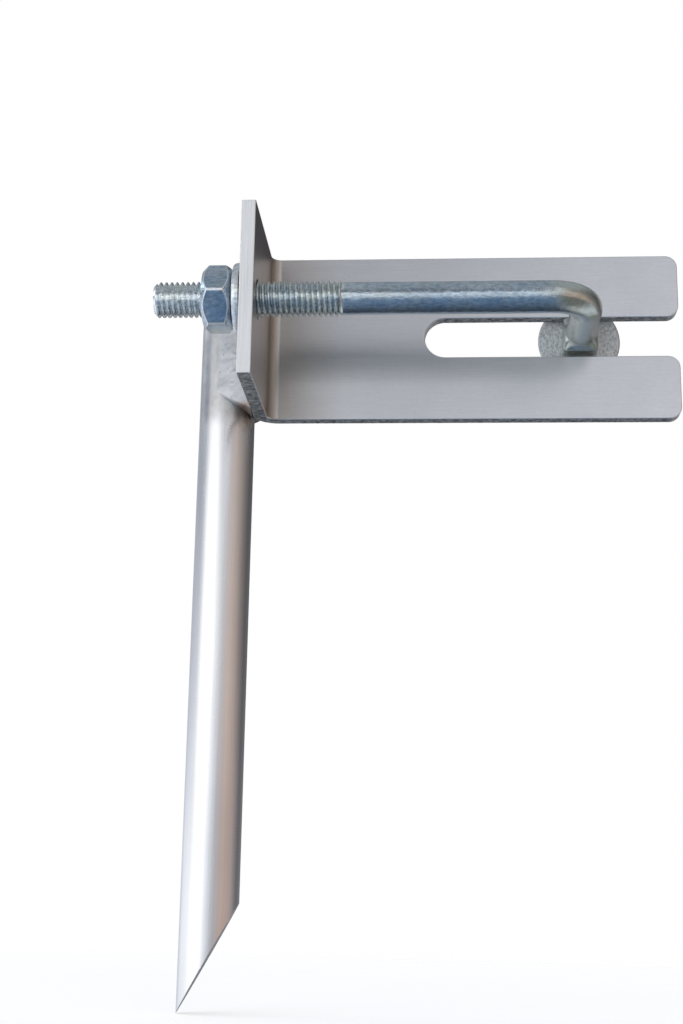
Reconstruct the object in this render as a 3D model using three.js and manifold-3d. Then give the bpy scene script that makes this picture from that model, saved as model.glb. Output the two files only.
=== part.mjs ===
// Post anchor spike: a round bar with a pointed foot, welded into the corner of a slotted
// angle bracket. A hooked, square-necked bolt hangs in the slot, runs through the bracket's
// flange, and is drawn up with a washer and a nut to clamp a post.
//
// Millimetres, +Z up. The origin is on the bar's axis, level with the arm's lower edge.
// The arm runs along +X and its inner face is the plane y = 0. The flange and the bolt are
// on its -Y side, and the bolt's head is on its +Y side.

import * as THREE from "three";
import { mergeVertices } from "three/addons/utils/BufferGeometryUtils.js";
import Module from "manifold-3d";

const wasm = await Module();
wasm.setup();

// Left between two pieces that touch on the real object.
const GAP = 0.3;

// Spike bar.
const BAR_R = 8;
const FOOT_TIP_Z = -165.4;
const FOOT_HEEL_Z = -136.8;
const FOOT_TURN = THREE.MathUtils.degToRad(5.4);
const CROWN_LOW_Z = 27.5;
const CROWN_HIGH_Z = 49.5;

// Angle bracket, bent from flat strip.
const PLATE = 4;
const STRIP = 50;
const ARM = 123.3;
const FLANGE = 41.6;
const BEND_R = 3;
const CORNER_R = 3.5;
const SLOT = 12;
const SLOT_START = 49.5;
const HOLE_R = 5.6;
const FLANGE_X = BAR_R;
const ARM_END_X = FLANGE_X + ARM;
const SLOT_Z = STRIP / 2;
const SLOT_END_X = FLANGE_X + SLOT_START + SLOT / 2;

// Hook bolt, M10 x 1.5 with a cup head and a square neck, bent into an L.
const BOLT_Y = -31.1;
const BOLT_Z = SLOT_Z;
const BOLT_TIP_X = -16.6;
const THREAD_R = 5;
const THREAD = 52.4;
const THREAD_RUNOUT = 0.5;
const TIP_CHAMFER = 1.2;
const SHANK_R = 4.45;
const HOOK_X = 102.7;
const HOOK_R = 10;
const NECK = 10;
const NECK_DEPTH = 6;
const NECK_CORNER_R = 1;
const HEAD_R = 12;
const HEAD_RIM = 1;
const HEAD_HEIGHT = 5;
const HEAD_FLAT_R = 2.4;
const HEAD_SWELL = 0.15;
const HEAD_Y = PLATE + GAP;

// Nut and washer, M10.
const BORE_R = THREAD_R + GAP;
const NUT_FLATS = 17;
const NUT_FACE_R = 7.9;
const NUT_CHAMFER = THREE.MathUtils.degToRad(44);
const NUT_TURN = THREE.MathUtils.degToRad(4);
const NUT_HEIGHT = 8;
const NUT_X = -2.8;
const WASHER_R = 10;
const WASHER = 2;
const WASHER_X = FLANGE_X - GAP - WASHER;

// Weld beads, both between the bar and the flange.
const WELD_TOP_Z = 40;
const RIPPLE_PITCH = 4;
const RIPPLE_HALF_HEIGHT = 6;
const RIPPLE_HALF_WIDTH = 5.6;
const RIPPLE_HALF_THICK = 3.4;
const RIPPLE_X = 6;
const RIPPLE_Y = 4.5;
const RIPPLE_TILT = THREE.MathUtils.degToRad(-27);
const FILLET_BAR_X = -1.2;
const FILLET_CROWN_X = 2;
const FILLET_CROWN_Y = -11.8;
const FILLET_FLANGE_Y = -13;
const FILLET_BOTTOM_Z = 0.8;
const FILLET_END_R = 13;
const FILLET_END_STRETCH = 0.56;

const COLOURS = {
  aluminium: 0xb9bac0,
  drawn: 0xc6c8ce,
  weld: 0xd4d5d8,
  zinc: 0x8d9ba6,
  bright: 0x9fb0ba,
};

// ---------------------------------------------------------------------------
// Solids
// ---------------------------------------------------------------------------

// A closed three.js geometry as a solid that can be joined and cut.
function solid(geometry) {
  const bare = geometry.clone();
  bare.deleteAttribute("normal");
  bare.deleteAttribute("uv");
  const merged = mergeVertices(bare, 1e-4);
  const corners = merged.index.array;
  const kept = [];
  for (let i = 0; i < corners.length; i += 3) {
    const [a, b, c] = [corners[i], corners[i + 1], corners[i + 2]];
    if (a !== b && b !== c && c !== a) kept.push(a, b, c);
  }
  const vertProperties = new Float32Array(merged.attributes.position.array);
  const triVerts = new Uint32Array(kept);
  return new wasm.Manifold(new wasm.Mesh({ numProp: 3, vertProperties, triVerts }));
}

// A solid back as a flat-shaded three.js mesh.
function named(name, body, colour, roughness) {
  const { vertProperties, triVerts } = body.getMesh();
  const indexed = new THREE.BufferGeometry();
  indexed.setAttribute("position", new THREE.BufferAttribute(vertProperties, 3));
  indexed.setIndex(new THREE.BufferAttribute(triVerts, 1));
  const geometry = indexed.toNonIndexed();
  geometry.computeVertexNormals();
  const material = new THREE.MeshStandardMaterial({ color: colour, roughness, metalness: 1 });
  const mesh = new THREE.Mesh(geometry, material);
  mesh.name = name;
  return mesh;
}

const point = (x, y) => new THREE.Vector2(x, y);

// Turns a geometry made around +Y so that it runs along +X, or along +Z.
const alongX = (geometry) => geometry.rotateZ(-Math.PI / 2);
const alongZ = (geometry) => geometry.rotateX(Math.PI / 2);

// An upright outline in X and Z, given depth from one Y to another.
function uprightPlate(shape, fromY, toY, curveSegments) {
  const depth = toY - fromY;
  const geometry = new THREE.ExtrudeGeometry(shape, { depth, bevelEnabled: false, curveSegments });
  geometry.rotateX(Math.PI / 2);
  geometry.translate(0, toY, 0);
  return geometry;
}

function barCylinder(grow) {
  const length = 2 * (STRIP - FOOT_TIP_Z);
  return solid(alongZ(new THREE.CylinderGeometry(BAR_R + grow, BAR_R + grow, length, 64)));
}

// ---------------------------------------------------------------------------
// Angle bracket
// ---------------------------------------------------------------------------

// The bent strip seen from above, with its outer faces moved out by grow.
function bentStrip(grow) {
  const outerX = FLANGE_X - grow;
  const innerX = FLANGE_X + PLATE;
  const outerY = PLATE + grow;
  const bendX = innerX + BEND_R;
  const bendOuter = BEND_R + PLATE + grow;
  const shape = new THREE.Shape();
  shape.moveTo(innerX, -FLANGE);
  shape.lineTo(innerX, -BEND_R);
  shape.absarc(bendX, -BEND_R, BEND_R, Math.PI, Math.PI / 2, true);
  shape.lineTo(ARM_END_X, 0);
  shape.lineTo(ARM_END_X, outerY);
  shape.lineTo(bendX, outerY);
  shape.absarc(bendX, -BEND_R, bendOuter, Math.PI / 2, Math.PI, false);
  shape.lineTo(outerX, -FLANGE);
  shape.closePath();
  const settings = { depth: STRIP, bevelEnabled: false, curveSegments: 5 };
  return solid(new THREE.ExtrudeGeometry(shape, settings));
}

// The strip's outline along the arm, with its rounded corners and its open slot.
function armOutline() {
  const low = SLOT_Z - SLOT / 2;
  const high = SLOT_Z + SLOT / 2;
  const cornerX = ARM_END_X - CORNER_R;
  const quarter = Math.PI / 2;
  const shape = new THREE.Shape();
  shape.moveTo(0, 0);
  shape.lineTo(cornerX, 0);
  shape.absarc(cornerX, CORNER_R, CORNER_R, -quarter, 0, false);
  shape.lineTo(ARM_END_X, low - CORNER_R);
  shape.absarc(cornerX, low - CORNER_R, CORNER_R, 0, quarter, false);
  shape.lineTo(SLOT_END_X, low);
  shape.absarc(SLOT_END_X, SLOT_Z, SLOT / 2, -quarter, quarter, true);
  shape.lineTo(cornerX, high);
  shape.absarc(cornerX, high + CORNER_R, CORNER_R, -quarter, 0, false);
  shape.lineTo(ARM_END_X, STRIP - CORNER_R);
  shape.absarc(cornerX, STRIP - CORNER_R, CORNER_R, 0, quarter, false);
  shape.lineTo(0, STRIP);
  shape.closePath();
  return shape;
}

function angleBracket() {
  const outline = solid(uprightPlate(armOutline(), -FLANGE - 1, PLATE + 1, 8));
  const drill = alongX(new THREE.CylinderGeometry(HOLE_R, HOLE_R, 4 * PLATE, 32));
  drill.translate(FLANGE_X, BOLT_Y, BOLT_Z);
  const bracket = bentStrip(0).intersect(outline).subtract(solid(drill));
  return named("angle_bracket", bracket, COLOURS.aluminium, 0.45);
}

// ---------------------------------------------------------------------------
// Spike bar and its welds
// ---------------------------------------------------------------------------

// A block around the bar whose end slants, low on one side and high on the other. The slant
// faces along X, turned by an angle about the bar.
function slantedBlock(lowZ, highZ, turn, farZ) {
  const overhang = 1.25;
  const x = BAR_R * overhang;
  const middle = (highZ + lowZ) / 2;
  const rise = ((highZ - lowZ) / 2) * overhang;
  const side = new THREE.Shape();
  side.moveTo(-x, middle - rise);
  side.lineTo(x, middle + rise);
  side.lineTo(x, farZ);
  side.lineTo(-x, farZ);
  side.closePath();
  return solid(uprightPlate(side, -x, x, 1).rotateZ(turn));
}

// The round bar, between its slanting crown and its long slanting point.
function spikeBar() {
  const foot = slantedBlock(FOOT_TIP_Z, FOOT_HEEL_Z, FOOT_TURN, STRIP + BAR_R);
  const crown = slantedBlock(CROWN_LOW_Z, CROWN_HIGH_Z, 0, FOOT_TIP_Z - BAR_R);
  const bar = barCylinder(0).intersect(foot).intersect(crown);
  return named("spike_bar", bar, COLOURS.drawn, 0.35);
}

// Takes the bar and the bracket out of a weld's rough shape, each with the usual gap.
function fitWeld(rough) {
  return rough.subtract(barCylinder(GAP)).subtract(bentStrip(GAP));
}

// The rear bead: overlapping ripples laid one above another, up to a round end.
function rearWeldBead() {
  const count = Math.floor((WELD_TOP_Z - 2 * RIPPLE_HALF_HEIGHT) / RIPPLE_PITCH) + 1;
  const top = WELD_TOP_Z - RIPPLE_HALF_HEIGHT;
  let bead = null;
  for (let i = 0; i < count; i += 1) {
    const ripple = alongZ(new THREE.SphereGeometry(1, 20, 10));
    ripple.scale(RIPPLE_HALF_WIDTH, RIPPLE_HALF_THICK, RIPPLE_HALF_HEIGHT);
    ripple.rotateZ(RIPPLE_TILT);
    ripple.translate(RIPPLE_X, RIPPLE_Y, top - i * RIPPLE_PITCH);
    bead = bead ? bead.add(solid(ripple)) : solid(ripple);
  }
  return named("rear_weld_bead", fitWeld(bead), COLOURS.weld, 0.4);
}

// The front bead: a smooth fillet from the bar's front to the flange's outer face.
function frontWeldBead() {
  const barY = -Math.sqrt(BAR_R ** 2 - FILLET_BAR_X ** 2);
  const shape = new THREE.Shape();
  shape.moveTo(FILLET_BAR_X, barY);
  shape.quadraticCurveTo(FILLET_CROWN_X, FILLET_CROWN_Y, FLANGE_X, FILLET_FLANGE_Y);
  shape.lineTo(FLANGE_X, -BEND_R);
  shape.lineTo(0, 0);
  shape.closePath();
  const depth = WELD_TOP_Z - FILLET_BOTTOM_Z;
  const fillet = new THREE.ExtrudeGeometry(shape, { depth, bevelEnabled: false, curveSegments: 8 });
  fillet.translate(0, 0, FILLET_BOTTOM_Z);
  const ends = alongZ(new THREE.SphereGeometry(1, 24, 16));
  ends.scale(FILLET_END_R, FILLET_END_R, depth * FILLET_END_STRETCH);
  ends.translate(FLANGE_X, -BEND_R, FILLET_BOTTOM_Z + depth / 2);
  const rough = solid(fillet).intersect(solid(ends));
  return named("front_weld_bead", fitWeld(rough), COLOURS.weld, 0.4);
}

// ---------------------------------------------------------------------------
// Hook bolt, washer and nut
// ---------------------------------------------------------------------------

// The threaded end, a plain cylinder of the thread's outer radius with a chamfered tip. Its
// far end tapers to inside the shank.
function threadedEnd() {
  const tipR = THREAD_R - TIP_CHAMFER;
  const innerR = SHANK_R - THREAD_RUNOUT;
  const runout = THREAD_R - innerR;
  const profile = [
    point(0, 0),
    point(tipR, 0),
    point(THREAD_R, TIP_CHAMFER),
    point(THREAD_R, THREAD),
    point(innerR, THREAD + runout),
    point(0, THREAD + runout),
  ];
  const end = alongX(new THREE.LatheGeometry(profile, 32));
  end.translate(BOLT_TIP_X, BOLT_Y, BOLT_Z);
  return solid(end);
}

// The shank's centre line: a straight leg, the hook's quarter turn and a short leg. Each leg
// is one step of the curve and the rest of its steps share the turn.
class ShankCurve extends THREE.Curve {
  static steps = 14;

  getUtoTmapping(u) {
    return u;
  }

  getPoint(t, target = new THREE.Vector3()) {
    const step = 1 / ShankCurve.steps;
    const turnX = HOOK_X - HOOK_R;
    const turnY = BOLT_Y + HOOK_R;
    if (t < step) {
      const startX = BOLT_TIP_X + THREAD;
      return target.set(startX + ((turnX - startX) * t) / step, BOLT_Y, BOLT_Z);
    }
    if (t > 1 - step) {
      const endY = HEAD_Y - NECK_DEPTH / 2;
      return target.set(HOOK_X, endY - ((endY - turnY) * (1 - t)) / step, BOLT_Z);
    }
    const angle = ((t - step) / (1 - 2 * step)) * (Math.PI / 2);
    return target.set(turnX + HOOK_R * Math.sin(angle), turnY - HOOK_R * Math.cos(angle), BOLT_Z);
  }
}

function bentShank() {
  const section = new THREE.Shape();
  section.absarc(0, 0, SHANK_R, 0, 2 * Math.PI, false);
  const settings = { steps: ShankCurve.steps, extrudePath: new ShankCurve(), curveSegments: 16 };
  return solid(new THREE.ExtrudeGeometry(section, settings));
}

// The cup head: a thin upright rim, a swelling cone and a small flat crown.
function cupHead() {
  const shoulder = HEAD_Y + HEAD_RIM;
  const rise = HEAD_HEIGHT - HEAD_RIM;
  const profile = [point(0, HEAD_Y), point(HEAD_R, HEAD_Y), point(HEAD_R, shoulder)];
  const rings = 6;
  for (let i = 1; i <= rings; i += 1) {
    const inward = i / rings;
    const radius = HEAD_R - (HEAD_R - HEAD_FLAT_R) * inward;
    profile.push(point(radius, shoulder + rise * (inward + HEAD_SWELL * Math.sin(Math.PI * inward))));
  }
  profile.push(point(0, HEAD_Y + HEAD_HEIGHT));
  const head = new THREE.LatheGeometry(profile, 48);
  head.translate(HOOK_X, 0, BOLT_Z);
  return solid(head);
}

function squareNeck() {
  const half = NECK / 2;
  const flat = half - NECK_CORNER_R;
  const shape = new THREE.Shape();
  shape.absarc(flat, -flat, NECK_CORNER_R, -Math.PI / 2, 0, false);
  shape.absarc(flat, flat, NECK_CORNER_R, 0, Math.PI / 2, false);
  shape.absarc(-flat, flat, NECK_CORNER_R, Math.PI / 2, Math.PI, false);
  shape.absarc(-flat, -flat, NECK_CORNER_R, Math.PI, 1.5 * Math.PI, false);
  shape.closePath();
  const neck = uprightPlate(shape, HEAD_Y - NECK_DEPTH, HEAD_Y + HEAD_RIM / 2, 3);
  neck.translate(HOOK_X, 0, BOLT_Z);
  return solid(neck);
}

function hookBolt() {
  const bolt = threadedEnd().add(bentShank()).add(squareNeck()).add(cupHead());
  return named("hook_bolt", bolt, COLOURS.zinc, 0.25);
}

// A flat ring around the bolt, from one X to another.
function flatWasher() {
  const edge = 0.3;
  const profile = [
    point(BORE_R, 0),
    point(WASHER_R - edge, 0),
    point(WASHER_R, edge),
    point(WASHER_R, WASHER - edge),
    point(WASHER_R - edge, WASHER),
    point(BORE_R, WASHER),
    point(BORE_R, 0),
  ];
  const ring = alongX(new THREE.LatheGeometry(profile, 48));
  ring.translate(WASHER_X, BOLT_Y, BOLT_Z);
  return named("flat_washer", solid(ring), COLOURS.bright, 0.3);
}

// A hexagon with two of its flats nearly level, chamfered at both ends and bored.
function hexNut() {
  const cornerR = NUT_FLATS / Math.sqrt(3);
  const clearR = cornerR + 0.01;
  const chamfer = (cornerR - NUT_FACE_R) * Math.tan(NUT_CHAMFER);
  const hexagon = alongX(new THREE.CylinderGeometry(cornerR, cornerR, NUT_HEIGHT, 6));
  hexagon.rotateX(Math.PI / 2 + NUT_TURN);
  hexagon.translate(NUT_HEIGHT / 2, 0, 0);
  const turned = [
    point(0, 0),
    point(NUT_FACE_R, 0),
    point(clearR, chamfer),
    point(clearR, NUT_HEIGHT - chamfer),
    point(NUT_FACE_R, NUT_HEIGHT),
    point(0, NUT_HEIGHT),
  ];
  const bore = alongX(new THREE.CylinderGeometry(BORE_R, BORE_R, 3 * NUT_HEIGHT, 32));
  const ends = alongX(new THREE.LatheGeometry(turned, 48));
  const nut = solid(hexagon).intersect(solid(ends)).subtract(solid(bore));
  return named("hex_nut", nut.translate([NUT_X, BOLT_Y, BOLT_Z]), COLOURS.zinc, 0.25);
}

// ---------------------------------------------------------------------------

const anchor = new THREE.Group();
anchor.add(angleBracket(), spikeBar(), rearWeldBead(), frontWeldBead());
anchor.add(hookBolt(), flatWasher(), hexNut());

export default anchor;
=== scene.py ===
"""The looks of the post anchor spike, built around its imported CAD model.

Metres, in the CAD's frame: +Z up along the spike bar, +X along the bracket's arm, whose
inner face is y = 0. The flange and the bolt are on the -Y side, the bolt's head on the +Y side.
"""
import math

import bmesh
import bpy
from mathutils import Matrix, Vector, noise


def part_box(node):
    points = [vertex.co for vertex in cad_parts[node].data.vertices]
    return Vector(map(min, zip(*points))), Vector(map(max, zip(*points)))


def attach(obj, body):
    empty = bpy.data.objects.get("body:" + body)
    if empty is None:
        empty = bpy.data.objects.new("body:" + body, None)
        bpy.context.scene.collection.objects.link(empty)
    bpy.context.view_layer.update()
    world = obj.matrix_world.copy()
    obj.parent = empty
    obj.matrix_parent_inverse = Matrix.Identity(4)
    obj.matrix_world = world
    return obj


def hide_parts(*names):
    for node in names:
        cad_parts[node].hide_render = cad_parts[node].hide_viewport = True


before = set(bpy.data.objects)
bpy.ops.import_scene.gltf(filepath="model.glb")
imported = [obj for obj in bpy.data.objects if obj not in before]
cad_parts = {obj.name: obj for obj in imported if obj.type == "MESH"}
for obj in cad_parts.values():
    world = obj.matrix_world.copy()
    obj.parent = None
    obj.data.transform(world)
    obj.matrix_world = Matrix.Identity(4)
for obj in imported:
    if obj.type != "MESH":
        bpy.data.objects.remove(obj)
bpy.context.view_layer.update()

MM = 0.001

# ---------------------------------------------------------------------------
# Sizes, read from the frame where it has them
# ---------------------------------------------------------------------------

BRACKET_LO, BRACKET_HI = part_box("angle_bracket")
BAR_LO, BAR_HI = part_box("spike_bar")
BOLT_LO, BOLT_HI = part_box("hook_bolt")
NUT_LO, NUT_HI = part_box("hex_nut")
WASHER_LO, WASHER_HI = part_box("flat_washer")
REAR_LO, REAR_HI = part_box("rear_weld_bead")
FRONT_LO, FRONT_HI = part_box("front_weld_bead")

PLATE = BRACKET_HI.y
STRIP = BRACKET_HI.z - BRACKET_LO.z
BEND_R = 3 * MM
CORNER_R = 3.5 * MM
SLOT = 12 * MM
SLOT_END_X = BRACKET_LO.x + 55.5 * MM
HOLE_R = 5.6 * MM

BAR_R = BAR_HI.x
CROWN_RISE = 22 * MM
FOOT_RISE = 28.6 * MM
FOOT_TURN = math.radians(5.4)

BOLT_Y = (WASHER_LO.y + WASHER_HI.y) / 2
BOLT_Z = (WASHER_LO.z + WASHER_HI.z) / 2
PITCH = 1.5 * MM
THREAD_R = 4.93 * MM
THREAD_DEPTH = 0.85 * MM
THREAD_END_X = BOLT_LO.x + 52.4 * MM
TIP_R = 3.9 * MM
SHANK_R = 4.45 * MM
HEAD_R = (BOLT_HI.z - BOLT_LO.z) / 2
HOOK_X = BOLT_HI.x - HEAD_R
HOOK_R = 10 * MM
HEAD_HEIGHT = 5 * MM
HEAD_Y = BOLT_HI.y - HEAD_HEIGHT
NECK = 10 * MM
NECK_CORNER_R = 0.9 * MM
NECK_DEPTH = 6 * MM

NUT_FLATS = 17 * MM
NUT_CORNER_R = 1.3 * MM
NUT_TURN = math.radians(4)
NUT_FACE_R = 7.9 * MM
NUT_SLOPE = math.tan(math.radians(44))
NUT_EDGE = 0.2 * MM
NUT_SECTOR = math.pi / 3
WASHER_R = (WASHER_HI.z - WASHER_LO.z) / 2

# ---------------------------------------------------------------------------
# Meshes
# ---------------------------------------------------------------------------


def smoothstep(x):
    x = min(max(x, 0.0), 1.0)
    return x * x * (3 - 2 * x)


def mix(a, b, t):
    return a + (b - a) * t


def finish_piece(name, bm, body, material, nodes, sharp_deg=35):
    """A bmesh as a smooth-shaded piece that rides on a body and stands for CAD nodes."""
    bmesh.ops.remove_doubles(bm, verts=bm.verts, dist=0.004 * MM)
    bmesh.ops.recalc_face_normals(bm, faces=bm.faces)
    mesh = bpy.data.meshes.new(name)
    bm.to_mesh(mesh)
    bm.free()
    mesh.shade_smooth()
    mesh.set_sharp_from_angle(angle=math.radians(sharp_deg))
    mesh.materials.append(material)
    piece = bpy.data.objects.new(name, mesh)
    bpy.context.scene.collection.objects.link(piece)
    weighted = piece.modifiers.new("weighted_normals", "WEIGHTED_NORMAL")
    weighted.keep_sharp = True
    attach(piece, body)
    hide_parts(*nodes)
    return piece


def add_grid(bm, rows, closed=True, cap_start=True, cap_end=True):
    """Joins rows of points into quads, as a tube if closed, with its ends capped if asked."""
    lines = [[bm.verts.new(point) for point in row] for row in rows]
    count = len(rows[0])
    last = count if closed else count - 1
    for lower, upper in zip(lines, lines[1:]):
        for j in range(last):
            k = (j + 1) % count
            bm.faces.new((lower[j], lower[k], upper[k], upper[j]))
    if cap_start:
        bm.faces.new(tuple(reversed(lines[0])))
    if cap_end:
        bm.faces.new(tuple(lines[-1]))
    return lines


def soften(bm, angle_deg, width, segments=2):
    """Rounds every edge that is sharper than an angle."""
    bmesh.ops.recalc_face_normals(bm, faces=bm.faces)
    limit = math.radians(angle_deg)
    edges = [e for e in bm.edges if e.is_manifold and e.calc_face_angle(0) > limit]
    bmesh.ops.bevel(
        bm, geom=edges, offset=width, segments=segments, profile=0.5, affect="EDGES",
        clamp_overlap=True,
    )


def tag_faces(bm, name, value_at):
    """Stores a number on every face, for its material to read."""
    bm.normal_update()
    layer = bm.faces.layers.float.new(name)
    for face in bm.faces:
        face[layer] = value_at(face.calc_center_median(), face.normal)


def arc(centre, radius, from_deg, to_deg, steps):
    """Points along an arc in a plane, both ends included."""
    points = []
    for i in range(steps + 1):
        a = math.radians(mix(from_deg, to_deg, i / steps))
        points.append((centre[0] + radius * math.cos(a), centre[1] + radius * math.sin(a)))
    return points


# ---------------------------------------------------------------------------
# Angle bracket: a flat pattern, cut and drilled, then bent
# ---------------------------------------------------------------------------

FLANGE_RUN = -BEND_R - BRACKET_LO.y
BEND_RUN = (BEND_R + PLATE / 2) * math.pi / 2
ARM_RUN = FLANGE_RUN + BEND_RUN
BEND_X = BRACKET_LO.x + PLATE + BEND_R


def bent(run, z, outer):
    """Where a point of the flat pattern goes, on the strip's inner (0) or outer (1) face."""
    if run <= FLANGE_RUN:
        return Vector((BRACKET_LO.x + (1 - outer) * PLATE, BRACKET_LO.y + run, z))
    if run >= ARM_RUN:
        return Vector((BEND_X + run - ARM_RUN, outer * PLATE, z))
    angle = (run - FLANGE_RUN) / BEND_RUN * math.pi / 2
    radius = BEND_R + outer * PLATE
    return Vector((BEND_X - radius * math.cos(angle), -BEND_R + radius * math.sin(angle), z))


def flat_pattern():
    """The strip's faces before bending, as loops of (run, z)."""
    hole_run = BOLT_Y - BRACKET_LO.y
    side = 32
    left = arc((hole_run, BOLT_Z), HOLE_R, 90, 270, side)
    right = arc((hole_run, BOLT_Z), HOLE_R, -90, 90, side)
    faces = [
        [(hole_run, 0), (hole_run, BOLT_Z - HOLE_R)] + list(reversed(left))[1:-1]
        + [(hole_run, BOLT_Z + HOLE_R), (hole_run, STRIP), (0, STRIP), (0, 0)],
        [(hole_run, 0), (FLANGE_RUN, 0), (FLANGE_RUN, STRIP), (hole_run, STRIP)]
        + [(hole_run, BOLT_Z + HOLE_R)] + list(reversed(right))[1:-1]
        + [(hole_run, BOLT_Z - HOLE_R)],
    ]
    bends = 20
    for i in range(bends):
        a = mix(FLANGE_RUN, ARM_RUN, i / bends)
        b = mix(FLANGE_RUN, ARM_RUN, (i + 1) / bends)
        faces.append([(a, 0), (b, 0), (b, STRIP), (a, STRIP)])
    end = ARM_RUN + BRACKET_HI.x - BEND_X
    slot_end = ARM_RUN + SLOT_END_X - BEND_X
    low = BOLT_Z - SLOT / 2
    high = BOLT_Z + SLOT / 2
    inset = end - CORNER_R
    arm = [(ARM_RUN, 0)]
    arm += arc((inset, CORNER_R), CORNER_R, -90, 0, 12)
    arm += arc((inset, low - CORNER_R), CORNER_R, 0, 90, 12)
    arm += list(reversed(arc((slot_end, BOLT_Z), SLOT / 2, 90, 270, 36)))
    arm += arc((inset, high + CORNER_R), CORNER_R, -90, 0, 12)
    arm += arc((inset, STRIP - CORNER_R), CORNER_R, 0, 90, 12)
    arm.append((ARM_RUN, STRIP))
    faces.append(arm)
    return faces


def angle_bracket(material):
    bm = bmesh.new()
    made = {}
    walls = {}

    def vertex(place, outer):
        key = (round(place[0] * 1e7), round(place[1] * 1e7), outer)
        if key not in made:
            made[key] = bm.verts.new(bent(place[0], place[1], outer))
        return made[key]

    for loop in flat_pattern():
        bm.faces.new([vertex(p, 0) for p in loop])
        bm.faces.new([vertex(p, 1) for p in reversed(loop)])
        for p, q in zip(loop, loop[1:] + loop[:1]):
            walls.setdefault(frozenset((vertex(p, 0), vertex(q, 0))), []).append((p, q))
    for users in walls.values():
        if len(users) == 1:
            p, q = users[0]
            bm.faces.new((vertex(q, 0), vertex(p, 0), vertex(p, 1), vertex(q, 1)))
    soften(bm, 50, 0.28 * MM, 3)
    tag_faces(bm, "sheared", sheared)
    tag_faces(bm, "underneath", lambda place, normal: max(-normal.z, 0.0))
    return finish_piece(
        "bracket_body", bm, "anchor", material, ["angle_bracket"]
    )


def sheared(place, normal):
    """0 on the strip's two faces, 1 on its cut edges, between them on the rounded corners."""
    if place.x > BEND_X:
        across = normal.y
    elif place.y < -BEND_R:
        across = normal.x
    else:
        away = Vector((place.x - BEND_X, place.y + BEND_R, 0)).normalized()
        across = normal.dot(away)
    return 1 - abs(across)


# ---------------------------------------------------------------------------
# Spike bar
# ---------------------------------------------------------------------------


def spike_bar(material):
    """A round bar, sawn on the slant at its crown and to a point at its foot."""
    bm = bmesh.new()
    around = 128
    levels = 40
    rows = []
    for i in range(levels + 1):
        t = i / levels
        row = []
        for j in range(around):
            angle = 2 * math.pi * j / around
            x = BAR_R * math.cos(angle)
            y = BAR_R * math.sin(angle)
            along = BAR_R * math.cos(angle - FOOT_TURN)
            foot = BAR_LO.z + FOOT_RISE * (along + BAR_R) / (2 * BAR_R)
            crown = BAR_HI.z - CROWN_RISE * (BAR_R - x) / (2 * BAR_R)
            row.append((x, y, mix(foot, crown, t)))
        rows.append(row)
    add_grid(bm, rows)
    soften(bm, 24, 0.16 * MM, 2)
    tag_faces(bm, "sawn", lambda place, normal: abs(normal.z))
    return finish_piece("spike_rod", bm, "anchor", material, ["spike_bar"], 24)


# ---------------------------------------------------------------------------
# Welds
# ---------------------------------------------------------------------------

RIPPLE_PITCH = 4.1 * MM
CRATER_R = 4.4 * MM


def ripple_height(side, z, low):
    """A puddle's height over the bead, 0 to 1: each one rides up on the one below it."""
    lag = 0.85 * side * side + 0.05 * noise.noise(Vector((side * 2, z / (6 * MM), 3.1)))
    phase = (z - low) / RIPPLE_PITCH - lag
    number = math.floor(phase)
    part = phase - number
    strength = 0.75 + 0.5 * noise.cell(Vector((number + 0.5, 7.5, 1.5)))
    front = math.sin(min(part / 0.24, 1.0) * math.pi / 2)
    fine = 0.06 * math.sin(2 * math.pi * phase * 4.3)
    return strength * (front - 0.85 * part) + fine


def crater(across, along):
    """The round end of the bead: a raised button with a dished top and a small pit."""
    d = math.hypot(across, along) / CRATER_R
    if d > 1.15:
        return 0.0
    button = 0.62 * MM * (1 - smoothstep((d - 0.84) / 0.2))
    groove = -0.28 * MM * math.exp(-((d - 1.05) / 0.05) ** 2)
    dish = -0.5 * MM * (1 - smoothstep(d / 0.95))
    pit = math.hypot(across - 0.2 * MM, along - 0.7 * MM) / (0.55 * MM)
    return button + groove + dish - 0.5 * MM * math.exp(-pit * pit)


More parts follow.
